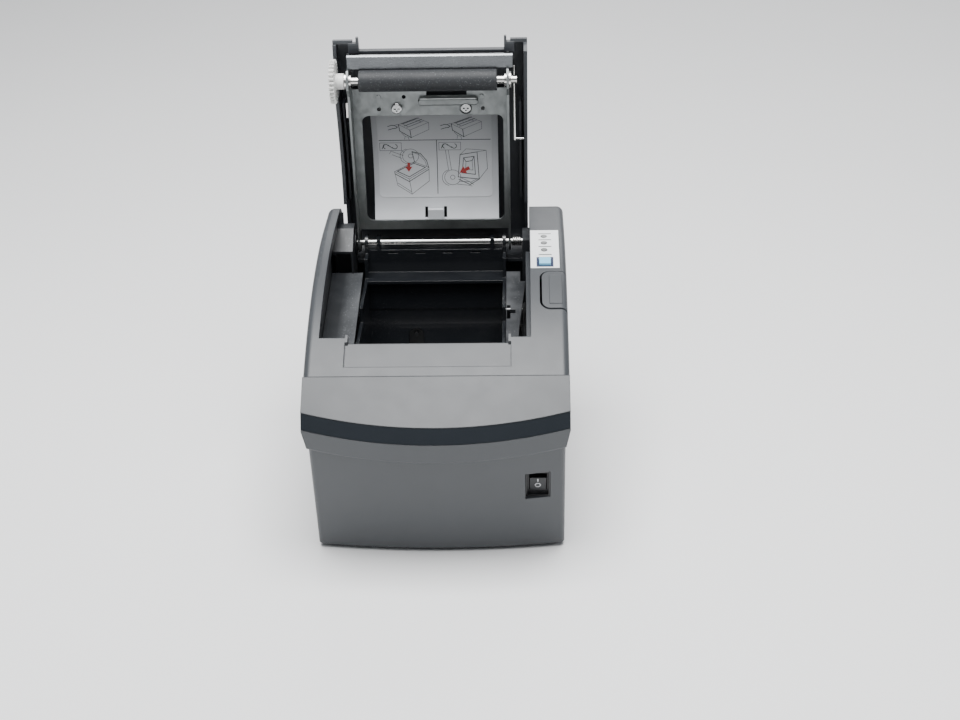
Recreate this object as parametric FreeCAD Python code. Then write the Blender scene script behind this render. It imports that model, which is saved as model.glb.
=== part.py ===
import FreeCAD, Part
import math
import os

os.makedirs("parts", exist_ok=True)

V = FreeCAD.Vector
AXIS_X = V(1, 0, 0)

# ---------------------------------------------------------------- driving dimensions (mm)
# X is across the printer, +Y runs to its rear, Z is up. The feet rest on Z = 0 and the origin is
# the middle of the printer's box with the lid standing open.
WIDTH = 145.0                  # casing, side to side
BODY_LENGTH = 195.0            # casing, front to rear
HEIGHT = 146.0                 # casing, lid closed
HINGE_Z = 124.4
HINGE_INSET = 14.5             # hinge axis ahead of the casing's rear
OVERHANG = HEIGHT - HINGE_Z - HINGE_INSET      # open lid behind the casing
FRONT_Y = -(BODY_LENGTH + OVERHANG) / 2        # foremost point of the bowed front cover
REAR_Y = FRONT_Y + BODY_LENGTH
WALL = 2.5                     # casing walls
LID_WALL = 2.2                 # lid walls
FIT = 0.3                      # gap between pieces that move past each other

HALF_W = WIDTH / 2
TOP_ARC_R = 225.0              # long curve of the top, seen from the side
TOP_ARC_Y = 51.45              # where it meets the flat top
REAR_CORNER_R = 15.0
EDGE_R = 4.0                   # rounded long edges of the casing
SPLIT_Z = 72.0                 # parting line of upper and lower case
SEAM_Y = -72.15                # parting line of upper case and front cover

HINGE_Y = REAR_Y - HINGE_INSET
ROD_R = 2.0
ROD_X = (-60.0, 54.0)
OPEN_ANGLE = -90.0             # turns the closed lid to the way it stands open

OPENING_X = (-65.0, 51.7)      # hole in the top that the lid closes
OPENING_FRONT_Y = -50.4
SILL_Z = 106.5                 # rear wall under the lid
LIP_X = (-50.6, 40.8)          # paper exit recess
RAIL_FRONT_Y = -36.0           # guide rail along the left of the opening
RIM_DEPTH = 20.8               # step under the right of the opening
LIP_Y = -52.1
LIP_RIB_REAR_Y = -48.4
RECESS_FRONT_Y = -67.2
RECESS_DEPTH = 1.8

LID_X = (-62.5, 51.1)
LID_FRONT_Y = -49.6
LID_EXIT_Y = -43.0             # lid skin stops here along the paper exit
LID_DEPTH = 20.0               # lid side walls
FRAME_X = (-54.3, 40.3)        # steel frame inside the lid
FRAME_T = 1.3
WINDOW_X = (-48.0, 36.6)
WINDOW_S = (15.0, 82.0)        # distances ahead of the hinge
FRAME_S = (9.0, 98.5)
PLATEN_S = 107.55
PLATEN_Z = 109.5
PLATEN_Y = HINGE_Y - PLATEN_S
PLATEN_R = 6.25
PLATEN_X = (-47.3, 33.4)
SHAFT_R = 2.5

BIN_Y = 23.0                   # middle of the paper roll
BIN_Z = 74.0
BIN_R = 43.0
BIN_X = (-48.2, 35.2)
BIN_WALL = 2.0
BIN_REAR_Z = 105.5
BIN_CREASE_Z = 85.0            # step in the rear wall
ARCH_X = -19.7                 # window of the paper sensor in the rear wall
ARCH_Z = 66.3
ARCH_R = 4.7

MODULE = 0.8                   # feed gears
PLATEN_TEETH = 30
IDLER_TEETH = 20
PINION_TEETH = 12
GEAR_X = (-63.6, -60.6)
MESH_SLACK = 0.15
IDLER_Z = PLATEN_Z - MODULE * (PLATEN_TEETH + IDLER_TEETH) / 2 - MESH_SLACK
PINION_DIRECTION = 207.0
PINION_REACH = MODULE * (IDLER_TEETH + PINION_TEETH) / 2 + MESH_SLACK
PINION_Y = PLATEN_Y + PINION_REACH * math.cos(math.radians(PINION_DIRECTION))
PINION_Z = IDLER_Z + PINION_REACH * math.sin(math.radians(PINION_DIRECTION))
MOTOR_R = 13.0

LOWER_HALF = 70.0
LOWER_FRONT_Y = -79.5          # foremost point at the foot
LOWER_LEAN = 15.5              # how far the front leans forward up to its top
LOWER_TOP_Z = 74.0
LOWER_BOW = 5.5                # curve of the front in plan, at the foot and at the top
LOWER_TOP_BOW = 7.5
LOWER_REAR_Y = 92.0
CHIN_GAP = 1.0                 # shadow gap between front cover and lower case
FLOOR_Z = 3.0

TEE_Y = 17.8                   # slot in the right ledge

SWITCH_X = (48.0, 61.8)
SWITCH_Z = (38.0, 56.4)
ROCKER_X = (50.5, 59.5)
ROCKER_Z = (41.9, 53.7)
ROCKER_TILT = 8.0

BUTTON_X = 57.0                # inner edge of the lid release button
BUTTON_Y = (-32.7, -2.3)
BUTTON_GAP = 1.2
BUTTON_SIDE_Z = 112.0
BUTTON_TRAVEL = 2.0
LABEL_X = (52.1, 68.6)
LABEL_Y = (0.7, 43.4)
LED_X = 60.0
LED_Y = (35.0, 26.9, 18.9)
FEED_X = (57.0, 63.6)
FEED_Y = (3.3, 9.3)

REAR_PLATE_X = (-58.0, 58.0)
REAR_PLATE_Z = (10.0, 40.0)


# ---------------------------------------------------------------- helpers
def box(x, y, z):
    return Part.makeBox(x[1] - x[0], y[1] - y[0], z[1] - z[0], V(x[0], y[0], z[0]))


def rod_x(x, y, z, radius):
    return Part.makeCylinder(radius, x[1] - x[0], V(x[0], y, z), AXIS_X)


def rod_y(x, y, z, radius):
    return Part.makeCylinder(radius, y[1] - y[0], V(x, y[0], z), V(0, 1, 0))


def rod_z(x, y, z, radius):
    return Part.makeCylinder(radius, z[1] - z[0], V(x, y, z[0]), V(0, 0, 1))


def prism(points, x):
    """Solid between two X planes whose side view is the closed polygon points = [(y, z), ...]."""
    corners = [V(x[0], y, z) for y, z in points]
    face = Part.Face(Part.makePolygon(corners + corners[:1]))
    return face.extrude(V(x[1] - x[0], 0, 0))


def fuse(shapes):
    first, *others = shapes
    return first.fuse(others).removeSplitter() if others else first


def rounded_plate(x, y, z, radius):
    """Box with its four upright edges rounded."""
    plate = box(x, y, z)
    upright = [e for e in plate.Edges if abs(e.Vertexes[0].Z - e.Vertexes[-1].Z) > 1e-6]
    return plate.makeFillet(radius, upright)


def top_z(y, inset=0.0):
    """Height of the casing's top at y, or of a surface inset under it."""
    centre_z = HEIGHT - TOP_ARC_R
    radius = TOP_ARC_R - inset
    if y >= TOP_ARC_Y:
        return HEIGHT - inset
    return centre_z + math.sqrt(radius ** 2 - (TOP_ARC_Y - y) ** 2)


def casing(x, inset=0.0, front=SEAM_Y, bottom=SPLIT_Z + 0.4):
    """Solid bounded by the casing's top and rear, inset evenly, from front to rear and over bottom."""
    radius = TOP_ARC_R - inset
    corner = max(REAR_CORNER_R - inset, 1.0)
    rear = REAR_Y - inset
    top = HEIGHT - inset
    low = V(x[0], front, bottom)
    seam = V(x[0], front, top_z(front, inset))
    middle_y = (front + TOP_ARC_Y) / 2
    middle = V(x[0], middle_y, top_z(middle_y, inset))
    crest = V(x[0], TOP_ARC_Y, top)
    turn = V(x[0], rear - corner, top)
    bend = V(x[0], rear - corner * (1 - math.sqrt(0.5)), top - corner * (1 - math.sqrt(0.5)))
    drop = V(x[0], rear, top - corner)
    end = V(x[0], rear, bottom)
    edges = [Part.makeLine(low, seam), Part.Arc(seam, middle, crest).toShape(),
             Part.makeLine(crest, turn), Part.Arc(turn, bend, drop).toShape(),
             Part.makeLine(drop, end), Part.makeLine(end, low)]
    return Part.Face(Part.Wire(edges)).extrude(V(x[1] - x[0], 0, 0))


def round_long_edges(solid, x_planes, radius):
    """Rounds the edges of a casing solid that run along its top in the given X planes."""
    chosen = []
    for edge in solid.Edges:
        middle = edge.valueAt((edge.FirstParameter + edge.LastParameter) / 2)
        on_side = any(abs(middle.x - x) < 1e-3 for x in x_planes)
        if on_side and middle.z > top_z(SEAM_Y) and abs(middle.z - top_z(middle.y)) < 6:
            chosen.append(edge)
    return solid.makeFillet(radius, chosen)


def opened(shape):
    """Turns a piece of the closed lid to where it is with the lid standing open."""
    turned = shape.copy()
    turned.rotate(V(0, HINGE_Y, HINGE_Z), AXIS_X, OPEN_ANGLE)
    return turned


def gear(teeth, x, y, z, phase, bore):
    """Spur gear on an X axis; phase is the direction of a tooth, in degrees from +Y towards +Z."""
    pitch = 360.0 / teeth
    tip = MODULE * (teeth / 2 + 1)
    root = MODULE * (teeth / 2 - 1.25)
    points = []
    for index in range(teeth):
        for share, radius in ((-0.29, root), (-0.13, tip), (0.13, tip), (0.29, root)):
            angle = math.radians(phase + (index + share) * pitch)
            points.append((y + radius * math.cos(angle), z + radius * math.sin(angle)))
    return prism(points, x).cut(rod_x((x[0] - 1, x[1] + 1), y, z, bore))


def screw(head_r, head_h, shank_r, shank_h):
    """Cross-recess pan-head screw along Z: the head sits on Z = 0 and the shank goes down."""
    head = rod_z(0, 0, (0, head_h), head_r)
    rim = [e for e in head.Edges if e.Vertexes[0].Z > head_h / 2]
    head = head.makeFillet(head_h * 0.45, rim[:1])
    shank = rod_z(0, 0, (-shank_h, 0), shank_r)
    arm = head_r * 0.55
    slot = 0.45
    cross = [box((-arm, arm), (-slot, slot), (head_h * 0.4, head_h + 1)),
             box((-slot, slot), (-arm, arm), (head_h * 0.4, head_h + 1))]
    return head.fuse(shank).cut(cross)


def placed(shape, point, axis=AXIS_X, angle=0.0):
    moved = shape.copy()
    moved.rotate(V(0, 0, 0), axis, angle)
    moved.translate(V(*point))
    return moved


# ---------------------------------------------------------------- casing
def lower_than(inset):
    """Everything of the casing that lies deeper than inset under its top."""
    return casing((-HALF_W - 1, HALF_W + 1), inset, SEAM_Y - 1, SPLIT_Z - 20)


def make_upper_case():
    full = round_long_edges(casing((-HALF_W, HALF_W)), (-HALF_W, HALF_W), EDGE_R)
    inner = casing((-HALF_W + WALL, HALF_W - WALL), WALL, SEAM_Y - 1, SPLIT_Z - 1)
    shell = full.cut(inner)
    tray = casing((LIP_X[0] - WALL, LIP_X[1] + WALL), WALL - 0.2, SEAM_Y, SPLIT_Z)
    tray = tray.cut(casing((LIP_X[0] - 9, LIP_X[1] + 9), RECESS_DEPTH + WALL, SEAM_Y - 1, SPLIT_Z - 1))
    keep = box((-HALF_W, HALF_W), (RECESS_FRONT_Y - WALL, LIP_Y), (SPLIT_Z, HEIGHT))
    shell = shell.fuse(tray.common(keep))
    opening = box(OPENING_X, (OPENING_FRONT_Y, REAR_Y + 9), (SILL_Z, HEIGHT + 9))
    slot = box(LIP_X, (LIP_Y, OPENING_FRONT_Y + 1), (SPLIT_Z + 9, HEIGHT))
    under = casing(LIP_X, RECESS_DEPTH, SEAM_Y - 1, SPLIT_Z)
    above = box(LIP_X, (RECESS_FRONT_Y, LIP_Y + 1), (top_z(SEAM_Y) - 4, HEIGHT)).cut(under)
    shell = shell.cut([opening, slot, above, button_hole(), label_pocket(), feed_hole()])
    led_holes = [rod_z(LED_X, y, (HEIGHT - 16, HEIGHT + 1), 1.6) for y in LED_Y]
    shell = shell.cut(led_holes)
    inside = casing((-HALF_W, HALF_W), WALL - 0.2, SEAM_Y, SPLIT_Z)
    rim = box((OPENING_X[1], OPENING_X[1] + 1.2), (OPENING_FRONT_Y - 1, 60.0), (90.0, HEIGHT)).common(inside)
    shelf = box((OPENING_X[1] - 2.4, OPENING_X[1] + 0.1), (OPENING_FRONT_Y, 60.0), (90.0, HEIGHT))
    shelf = shelf.common(casing((-HALF_W, HALF_W), RIM_DEPTH)).cut(lower_than(RIM_DEPTH + 1.8))
    rail = box((OPENING_X[0] - 1.2, OPENING_X[0]), (RAIL_FRONT_Y, 58.0), (100.0, HEIGHT)).common(inside)
    flanges = [rim.cut(lower_than(RIM_DEPTH + 1.8)), shelf, rail.cut(lower_than(6.0))]
    for x in ((LIP_X[0], LIP_X[0] + 1.5), (LIP_X[1] - 1.5, LIP_X[1])):
        rib = box(x, (LIP_Y - 1.0, LIP_RIB_REAR_Y), (100.0, HEIGHT))
        rib = rib.common(casing((-HALF_W, HALF_W))).cut(lower_than(RECESS_DEPTH + WALL))
        flanges.append(rib)
    bosses = [rod_z(x, y, (SPLIT_Z + 0.4, top_z(y, WALL - 0.2)), 3.2).cut(
        rod_z(x, y, (SPLIT_Z, SPLIT_Z + 12), 1.3)) for x, y in CASE_SCREWS]
    return fuse([shell] + flanges + [boss.common(inside) for boss in bosses])


CASE_SCREWS = [(-66.6, -60.0), (66.6, -60.0), (-66.6, 84.0), (66.6, 84.0)]


def button_block(gap):
    """The corner of the casing that the lid release takes, shrunk by gap on each side."""
    x = (BUTTON_X + gap, HALF_W + 1)
    y = (BUTTON_Y[0] + gap, BUTTON_Y[1] - gap * 0.4)
    block = box(x, y, (BUTTON_SIDE_Z, HEIGHT))
    corner = [e for e in block.Edges if abs(e.Vertexes[0].Z - e.Vertexes[-1].Z) > 1e-6
              and e.Vertexes[0].X < BUTTON_X + gap + 0.01]
    return block.makeFillet(6.0 - gap, corner)


def button_hole():
    return button_block(0.0)


def label_pocket():
    pocket = box((LABEL_X[0] - 0.1, LABEL_X[1] + 0.1), (LABEL_Y[0] - 0.1, LABEL_Y[1] + 0.1), (120, HEIGHT))
    return pocket.cut(casing((-HALF_W, HALF_W), 0.3))


def feed_hole():
    return box((FEED_X[0] - FIT, FEED_X[1] + FIT), (FEED_Y[0] - FIT, FEED_Y[1] + FIT), (120, HEIGHT))


def front_points(x):
    """Corners of the front cover's side view at x; its middle bows forward and down."""
    share = 1 - (x / HALF_W) ** 2
    forward = (-92.5 - FRONT_Y) * share
    sag = 5.2 * share
    brow = (-88.7 - forward, 95.8 - sag)
    nose = (-92.5 - forward, 87.3 - sag)
    chin = (-90.6 - forward, 74.9 - sag)
    return brow, nose, chin, 74.4 - sag * 0.3


def front_section(x, inset):
    brow, nose, chin, rear_z = front_points(x)
    rear = SEAM_Y - 0.25 + (3.0 if inset else 0.0)
    return section(x, [(rear, top_z(SEAM_Y) - inset * 1.2), (brow[0] + inset, brow[1] - inset * 0.7),
                       (nose[0] + inset, nose[1]), (chin[0] + inset, chin[1] + inset),
                       (rear, rear_z + inset)])


def section(x, points):
    corners = [V(x, y, z) for y, z in points]
    return Part.makePolygon(corners + corners[:1])


def swept(half, section_at):
    """Loft across the printer through nine sections."""
    steps = 8
    stations = [half * (2 * index / steps - 1) for index in range(steps + 1)]
    return Part.makeLoft([section_at(x) for x in stations], True, False)


def band_section(x, outer, inner, margin):
    """Strip along the cover's front face, from outer to inner depth, kept margin off its edges."""
    brow, nose, chin, rear_z = front_points(x)
    length = math.dist(brow, nose)
    along = ((nose[0] - brow[0]) / length, (nose[1] - brow[1]) / length)
    inward = (-along[1], along[0])
    points = []
    for base, sign in ((brow, 1), (nose, -1)):
        depths = (outer, inner) if sign > 0 else (inner, outer)
        for depth in depths:
            points.append((base[0] + sign * margin * along[0] + depth * inward[0],
                           base[1] + sign * margin * along[1] + depth * inward[1]))
    return section(x, points)


BAND_DEPTH = 1.2


def front_outer():
    outer = swept(HALF_W, lambda x: front_section(x, 0.0))
    long_edges = [e for e in outer.Edges if e.Length > WIDTH * 0.9
                  and e.valueAt((e.FirstParameter + e.LastParameter) / 2).y < SEAM_Y - 2]
    return outer.makeFillet(1.2, long_edges)


def make_front_cover():
    groove = swept(HALF_W + 0.5, lambda x: band_section(x, -1.5, BAND_DEPTH, 0.0))
    cover = front_outer().cut([swept(HALF_W - WALL, lambda x: front_section(x, WALL)), groove])
    tapers = []
    for side in (-1, 1):
        corners = [V(side * HALF_W, -120, 86.0), V(side * (HALF_W + 5), -120, 86.0),
                   V(side * (HALF_W + 5), -120, 70.0), V(side * (HALF_W - 2.6), -120, 73.0)]
        tapers.append(Part.Face(Part.makePolygon(corners + corners[:1])).extrude(V(0, 60, 0)))
    tongues = [box((x - 4, x + 4), (SEAM_Y - 6, SEAM_Y + 5), (101.5, 103.5)) for x in (-58, 58)]
    return fuse([cover.cut(tapers)] + tongues)


def make_front_band():
    return swept(HALF_W - 0.05, lambda x: band_section(x, 0.3, BAND_DEPTH, 0.12))


def lower_rise(z):
    return (z - FLOOR_Z) / (LOWER_TOP_Z - FLOOR_Z)


def lower_front(x, z):
    """Y of the lower case's front face; it leans forward and bows in plan."""
    bow = LOWER_BOW + (LOWER_TOP_BOW - LOWER_BOW) * lower_rise(z)
    return LOWER_FRONT_Y - LOWER_LEAN * lower_rise(z) + bow * (x / LOWER_HALF) ** 2


def lower_outline(z, inset):
    side = LOWER_HALF - inset
    corner_y = lower_front(LOWER_HALF, z) + inset
    left = V(-side, corner_y, z)
    right = V(side, corner_y, z)
    rear_left = V(-side, LOWER_REAR_Y - inset, z)
    rear_right = V(side, LOWER_REAR_Y - inset, z)
    edges = [Part.Arc(left, V(0, lower_front(0, z) + inset, z), right).toShape(),
             Part.makeLine(right, rear_right), Part.makeLine(rear_right, rear_left),
             Part.makeLine(rear_left, left)]
    return Part.Wire(edges)


def lower_body(inset, low, high):
    return Part.makeLoft([lower_outline(z, inset) for z in (low, high)], True, True)


SWITCH_FACE = (lower_front(sum(SWITCH_X) / 2, sum(SWITCH_Z) / 2), sum(SWITCH_Z) / 2)
LEAN_ANGLE = math.degrees(math.atan(LOWER_LEAN / (LOWER_TOP_Z - FLOOR_Z)))


def leaned(shape):
    """Tilts a piece of the switch with the front of the lower case."""
    tilted = shape.copy()
    tilted.rotate(V(0, *SWITCH_FACE), AXIS_X, LEAN_ANGLE)
    return tilted


def make_lower_case():
    outer = lower_body(0.0, FLOOR_Z, LOWER_TOP_Z)
    upright = [e for e in outer.Edges if abs(e.Vertexes[0].Z - e.Vertexes[-1].Z) > 20]
    outer = outer.makeFillet(3.0, upright)
    shell = outer.cut(lower_body(WALL, FLOOR_Z - 1, LOWER_TOP_Z + 1))
    chin = front_outer()
    chin.translate(V(0, 0, -CHIN_GAP))
    above = box((-HALF_W, HALF_W), (SEAM_Y - 0.4, REAR_Y), (SPLIT_Z - 0.4, HEIGHT))
    window = leaned(box(SWITCH_X, (SWITCH_FACE[0] - 4, SWITCH_FACE[0] + 9), SWITCH_Z))
    rear_window = box(REAR_PLATE_X, (LOWER_REAR_Y - 9, LOWER_REAR_Y + 1), REAR_PLATE_Z)
    bosses = [rod_z(x, y, (FLOOR_Z + 3, SPLIT_Z - 0.4), 3.2) for x, y in CASE_SCREWS]
    holes = [rod_z(x, y, (FLOOR_Z, SPLIT_Z), 1.8) for x, y in CASE_SCREWS]
    holes += [rod_z(x, y, (FLOOR_Z - 1, FLOOR_Z + 3), 3.3) for x, y in CASE_SCREWS]
    core = lower_body(1.0, FLOOR_Z, SPLIT_Z - 0.4)
    shell = shell.cut([chin, above, window, rear_window])
    return fuse([shell] + [boss.common(core) for boss in bosses]).cut(holes)


def make_bottom_cover():
    plate = lower_body(WALL + 0.2, FLOOR_Z, FLOOR_Z + 2.4)
    holes = [rod_z(x, y, (FLOOR_Z - 1, FLOOR_Z + 4), 3.6) for x, y in CASE_SCREWS]
    vents = [box((-24 + 8 * i, -20 + 8 * i), (-20, 20), (FLOOR_Z - 1, FLOOR_Z + 4)) for i in range(7)]
    return plate.cut(holes + vents)


FEET = [(-52.0, -62.0), (52.0, -62.0), (-52.0, 76.0), (52.0, 76.0)]


def make_rubber_feet():
    feet = []
    for x, y in FEET:
        pad = rod_z(x, y, (0, FLOOR_Z), 7.0)
        rim = [e for e in pad.Edges if e.Vertexes[0].Z < 0.1 and e.Length > 20]
        feet.append(pad.makeFillet(0.8, rim[:1]))
    return Part.makeCompound(feet)


def make_case_screws():
    shape = screw(3.0, 2.0, 1.25, 74.0)
    return Part.makeCompound([placed(shape, (x, y, FLOOR_Z + 2.9), AXIS_X, 180) for x, y in CASE_SCREWS])


# ---------------------------------------------------------------- paper bin and side frames
def make_paper_bin():
    x = (BIN_X[0] - BIN_WALL, BIN_X[1] + BIN_WALL)
    outer_r = BIN_R + BIN_WALL
    rear = BIN_Y + outer_r
    front = BIN_Y - outer_r
    body = fuse([rod_x(x, BIN_Y, BIN_Z, outer_r), box(x, (BIN_Y, rear), (BIN_Z, BIN_REAR_Z)),
                 box(x, (front, BIN_Y), (BIN_Z, BIN_Z + 22))])
    body = body.cut(box((-99, 99), (BIN_Y, rear + 9), (BIN_REAR_Z, 150)))
    body = body.cut(box((-99, 99), (front - 9, BIN_Y), (BIN_Z + 22, 150)))
    hollow = fuse([rod_x(BIN_X, BIN_Y, BIN_Z, BIN_R),
                   box(BIN_X, (BIN_Y - BIN_R, BIN_Y + BIN_R), (BIN_Z, 150))])
    crease = box(BIN_X, (BIN_Y + BIN_R - 0.6, BIN_Y + BIN_R + 0.5), (BIN_CREASE_Z, BIN_REAR_Z - 2))
    ledge = box(x, (BIN_Y + BIN_R - 4.5, HINGE_Y - 2.0), (BIN_REAR_Z - 2, BIN_REAR_Z))
    fence = box(x, (HINGE_Y - 3.5, HINGE_Y - 1.7), (BIN_REAR_Z - 2, HINGE_Z - 4.0))
    slots = [box((-36 + 17 * i, -30 + 17 * i), (HINGE_Y - 4, HINGE_Y), (HINGE_Z - 6.4, HINGE_Z - 5.2))
             for i in range(4)]
    lugs = [box((lug, lug + 2.4), (HINGE_Y - 3.5, HINGE_Y + 3.4), (HINGE_Z - 6, HINGE_Z + 3.4))
            for lug in (-43.0, 27.6)]
    cheeks = []
    for side in (x[0], x[1] - BIN_WALL):
        cheek_x = (side, side + BIN_WALL)
        cheeks.append(box(cheek_x, (BIN_Y + BIN_R, HINGE_Y - 1.7), (BIN_REAR_Z - 2, HINGE_Z - 6.0)))
        cheeks.append(box(cheek_x, (HINGE_Y - 4.5, HINGE_Y + 1.0), (HINGE_Z - 10, HINGE_Z)))
        cheeks.append(rod_x(cheek_x, HINGE_Y, HINGE_Z, 5.0))
    legs = [box((leg, leg + 4), (BIN_Y - 30, BIN_Y + 30), (FLOOR_Z + 2.4, BIN_Z - 30))
            for leg in (BIN_X[0] - BIN_WALL, BIN_X[1] + BIN_WALL - 4)]
    arch_y = (BIN_Y + 20, rear + 1)
    arch = [rod_y(ARCH_X, arch_y, ARCH_Z, ARCH_R),
            box((ARCH_X - ARCH_R, ARCH_X + ARCH_R), arch_y, (ARCH_Z - 14, ARCH_Z))]
    shape = fuse([fuse([body, ledge]).cut(hollow), crease, ledge, fence] + lugs + cheeks + legs)
    return shape.cut(slots + arch + [rod_x((-99, 99), HINGE_Y, HINGE_Z, ROD_R + 0.03)])


def ledge_z(y):
    """Height of the sloping ledges beside the paper bin."""
    return 113.0 + (y - 58.0) * 0.21


def side_ledge(x):
    front = -50.0
    rear = 58.0
    points = [(front, ledge_z(front) - 2), (front, ledge_z(front)), (rear, ledge_z(rear)),
              (rear, ledge_z(rear) - 2)]
    return prism(points, x)


def make_left_side_frame():
    """Left wall of the mechanism with the paper ledge, the gears' slots and the hinge tower."""
    plate = box((-57.0, -55.2), (-54.0, 76.0), (FLOOR_Z + 2.4, 88.0))
    ledge = side_ledge((-69.5, -50.5))
    web = prism([(-50, 70), (-50, ledge_z(-50) - 1), (58, ledge_z(58) - 1), (58, 70)], (-57.0, -55.2))
    tower_x = (-68.0, -56.0)
    tower = box(tower_x, (66.0, HINGE_Y - 1.0), (74.0, 126.0))
    cap = prism([(57.0, 125.0), (57.0, 127.5), (70.0, 137.5), (HINGE_Y - 1, 137.5), (HINGE_Y - 1, 125.0)],
                tower_x)
    cap = cap.cut(box((tower_x[0] + 1.5, tower_x[1] - 1.5), (57, 65), (120, 126)))
    flange = box((tower_x[1] - 1.2, tower_x[1]), (57.0, 67.0), (110.0, 126.0))
    hub = rod_x((-62.0, -55.4), HINGE_Y, HINGE_Z, 8.0)
    gear_slot = box((-65.0, -55.9), (PLATEN_Y - 9.6, PLATEN_Y + 9.6), (80.0, 110.0))
    motor_slot = box((-55.2, -50.0), (PINION_Y - MOTOR_R - 0.4, PINION_Y + MOTOR_R + 0.4), (76.0, 110.0))
    pinion_slot = box((-65.0, -55.9), (PINION_Y - 6.5, PINION_Y + 6.5), (76.0, 110.0))
    shape = fuse([plate, ledge, web, tower, cap, flange, hub]).cut([gear_slot, pinion_slot, motor_slot])
    bores = [rod_x((-99, -50), HINGE_Y, HINGE_Z, ROD_R + 0.03),
             rod_x((-70, -50), PLATEN_Y, IDLER_Z, 1.5 + 0.02),
             rod_x((-70, -50), PINION_Y, PINION_Z, 6.0)]
    return shape.cut(bores)


def make_right_side_frame():
    plate = box((47.2, 49.2), (-50.0, 76.0), (FLOOR_Z + 2.4, 90.0))
    ledge = side_ledge((37.5, 49.2))
    outline = [V(36, -60, 80), V(45.0, -60, 80), V(45.0, 0.5, 80), V(49.2, 48.0, 80), V(46.0, 48.0, 80),
               V(46.0, 64.0, 80), V(36, 64.0, 80)]
    ledge = ledge.common(Part.Face(Part.makePolygon(outline + outline[:1])).extrude(V(0, 0, 60)))
    web = prism([(-50, 70), (-50, ledge_z(-50) - 1), (58, ledge_z(58) - 1), (58, 70)], (43.0, 44.8))
    tie = box((43.0, 49.2), (-40.0, 40.0), (84.0, 86.0))
    tower = box((47.4, 56.0), (62.0, HINGE_Y - 1.0), (70.0, 132.0))
    hub = rod_x((47.4, 56.0), HINGE_Y, HINGE_Z, 8.0)
    tee = [box((37.9, 40.0), (TEE_Y - 6.5, TEE_Y + 6.5), (90, 120)),
           box((39.9, 43.0), (TEE_Y - 1.2, TEE_Y + 2.2), (90, 120))]
    shape = fuse([plate, ledge, web, tie, tower, hub])
    return shape.cut(tee + [rod_x((30, 99), HINGE_Y, HINGE_Z, ROD_R + 0.03)])


def make_hinge_rod():
    rod = rod_x(ROD_X, HINGE_Y, HINGE_Z, ROD_R)
    return rod.makeChamfer(0.4, [e for e in rod.Edges if e.Length < 2 * math.pi * ROD_R + 0.1
                                 and abs(e.Vertexes[0].X - e.Vertexes[-1].X) < 0.01])


def make_hinge_spring():
    wire_r = 0.5
    coil_r = ROD_R + 0.25 + wire_r
    helix = Part.makeHelix(1.3, 5.2, coil_r)
    helix.rotate(V(0, 0, 0), V(0, 1, 0), 90)
    helix.translate(V(41.2, HINGE_Y, HINGE_Z))
    start = helix.Edges[0].valueAt(helix.Edges[0].FirstParameter)
    along = helix.Edges[0].tangentAt(helix.Edges[0].FirstParameter)
    ring = Part.Wire(Part.makeCircle(wire_r, start, along))
    return Part.Wire(helix).makePipeShell([ring], True, True)


# ---------------------------------------------------------------- print mechanism
HEAD_X = (-46.5, 33.0)
HEAD_FACE_Y = PLATEN_Y - PLATEN_R - 0.35
HEAD_TOP_Z = 110.2
HEAD_PIVOT = (HEAD_FACE_Y - 2.0, HEAD_TOP_Z - 10.7)
PIN_R = 1.0


def make_head_element():
    return box(HEAD_X, (HEAD_FACE_Y - 1.0, HEAD_FACE_Y), (HEAD_TOP_Z - 13, HEAD_TOP_Z))


def make_head_heatsink():
    y = (HEAD_FACE_Y - 3.0, HEAD_FACE_Y - 1.0)
    x = (HEAD_X[0] - 1, HEAD_X[1] + 1)
    sink = box(x, y, (HEAD_TOP_Z - 11.7, HEAD_TOP_Z - 0.4))
    pivots = [rod_x(ends, *HEAD_PIVOT, PIN_R) for ends in ((x[0] - 2, x[0] + 1), (x[1] - 1, x[1] + 2))]
    return fuse([sink] + pivots)


def make_head_bracket():
    """Fixed carrier in front of the head, with the eyes that the head's pins turn in."""
    y = (HEAD_FACE_Y - 9.0, HEAD_FACE_Y - 7.0)
    x = (HEAD_X[0] - 4.4, HEAD_X[1] + 4.4)
    back = box(x, y, (HEAD_TOP_Z - 12.7, HEAD_TOP_Z - 3.2))
    web = box((HEAD_X[0] + 15, x[1]), y, (HEAD_TOP_Z - 22.2, HEAD_TOP_Z - 12.6))
    foot = box((HEAD_X[0] + 15, x[1]), (y[0] - 6, y[1]), (HEAD_TOP_Z - 22.2, HEAD_TOP_Z - 20.2))
    ears = [box((side, side + 2.4), (y[0], HEAD_FACE_Y), (HEAD_TOP_Z - 12.7, HEAD_TOP_Z - 8.2))
            for side in (x[0], x[1] - 2.4)]
    return fuse([back, web, foot] + ears).cut(rod_x((-99, 99), *HEAD_PIVOT, PIN_R + 0.04))


def make_head_springs():
    springs = []
    y = HEAD_FACE_Y - 7.0
    z = HEAD_TOP_Z - 6.2
    for x in (-30.0, -3.0, 20.0):
        springs.append(rod_y(x, (y, y + 3.2), z, 2.4).cut(rod_y(x, (y - 1, y + 9), z, 1.8)))
    return Part.makeCompound(springs)


BLADE_X = (-45.0, 33.0)
BLADE_Z = (HEAD_TOP_Z + 0.2, HEAD_TOP_Z + 0.9)
BLADE_EDGE_Y = -50.5
BLADE_REAR_Y = -56.5
CUTTER_LOW_Z = 99.0


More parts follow.
